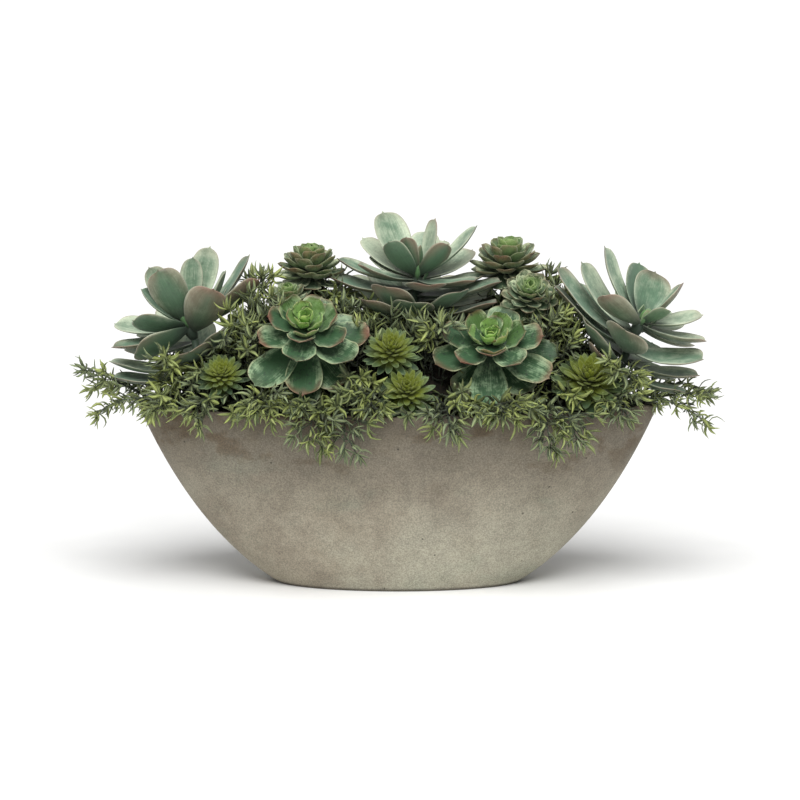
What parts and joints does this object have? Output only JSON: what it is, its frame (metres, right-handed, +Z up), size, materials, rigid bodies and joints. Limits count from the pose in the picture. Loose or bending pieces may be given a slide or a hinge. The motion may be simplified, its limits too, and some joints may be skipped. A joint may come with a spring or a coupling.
{
  "type": "succulent planter",
  "caption": "Oval boat-shaped concrete bowl filled with soil and planted with succulent rosettes, pointed heads and trailing narrow-leaved sprigs; rests on its flat base.",
  "frame": {"origin": "centre of the bowl's flat base, on the surface that it stands on", "axes": "+X along the bowl's length, to the viewer's right in the picture; +Y towards the back; +Z up"},
  "size_m": [0.7147, 0.278, 0.396],
  "materials": {
    "concrete": "matt grey-brown cast concrete, mottled and stained darker below the rim",
    "soil": "dark crumbly potting soil",
    "large_leaf": "soft satin grey-green with a pale bloom and pinkish edges",
    "medium_leaf": "satin green, lime at the heart, red leaf edges",
    "dense_leaf": "satin olive green with brownish tips",
    "lime_leaf": "satin lime and olive green",
    "sprig_leaf": "satin yellow-green tips on darker stems"
  },
  "bodies": {
    "root": {"bowl": "concrete", "soil": "soil", "rosette_centre": "large_leaf", "rosette_left": "large_leaf", "rosette_right": "large_leaf", "rosette_front_left": "medium_leaf", "rosette_front_right": "medium_leaf", "rosette_back_left": "medium_leaf", "rosette_back_right": "medium_leaf", "dense_head_left": "dense_leaf", "dense_head_right": "dense_leaf", "dense_head_low_left": "dense_leaf", "dense_head_low_right": "dense_leaf", "dense_head_back": "dense_leaf", "lime_head_left": "lime_leaf", "lime_head_upper": "lime_leaf", "lime_head_lower": "lime_leaf", "lime_head_right": "lime_leaf", "lime_head_back_left": "lime_leaf", "lime_head_back": "lime_leaf", "lime_head_back_right": "lime_leaf", "sprig_01": "sprig_leaf", "sprig_02": "sprig_leaf", "sprig_03": "sprig_leaf", "sprig_04": "sprig_leaf", "sprig_05": "sprig_leaf", "sprig_06": "sprig_leaf", "sprig_07": "sprig_leaf", "sprig_08": "sprig_leaf", "sprig_09": "sprig_leaf", "sprig_10": "sprig_leaf", "sprig_11": "sprig_leaf", "sprig_12": "sprig_leaf", "sprig_13": "sprig_leaf", "sprig_14": "sprig_leaf", "sprig_15": "sprig_leaf", "sprig_16": "sprig_leaf", "sprig_17": "sprig_leaf", "sprig_18": "sprig_leaf", "sprig_19": "sprig_leaf", "sprig_20": "sprig_leaf", "sprig_21": "sprig_leaf", "sprig_22": "sprig_leaf", "sprig_23": "sprig_leaf", "sprig_24": "sprig_leaf", "sprig_25": "sprig_leaf", "sprig_26": "sprig_leaf", "sprig_27": "sprig_leaf", "sprig_28": "sprig_leaf", "sprig_29": "sprig_leaf", "sprig_30": "sprig_leaf", "sprig_31": "sprig_leaf", "sprig_32": "sprig_leaf", "sprig_33": "sprig_leaf", "sprig_34": "sprig_leaf", "sprig_35": "sprig_leaf", "sprig_36": "sprig_leaf", "sprig_37": "sprig_leaf", "sprig_38": "sprig_leaf"}
  },
  "joints": []
}
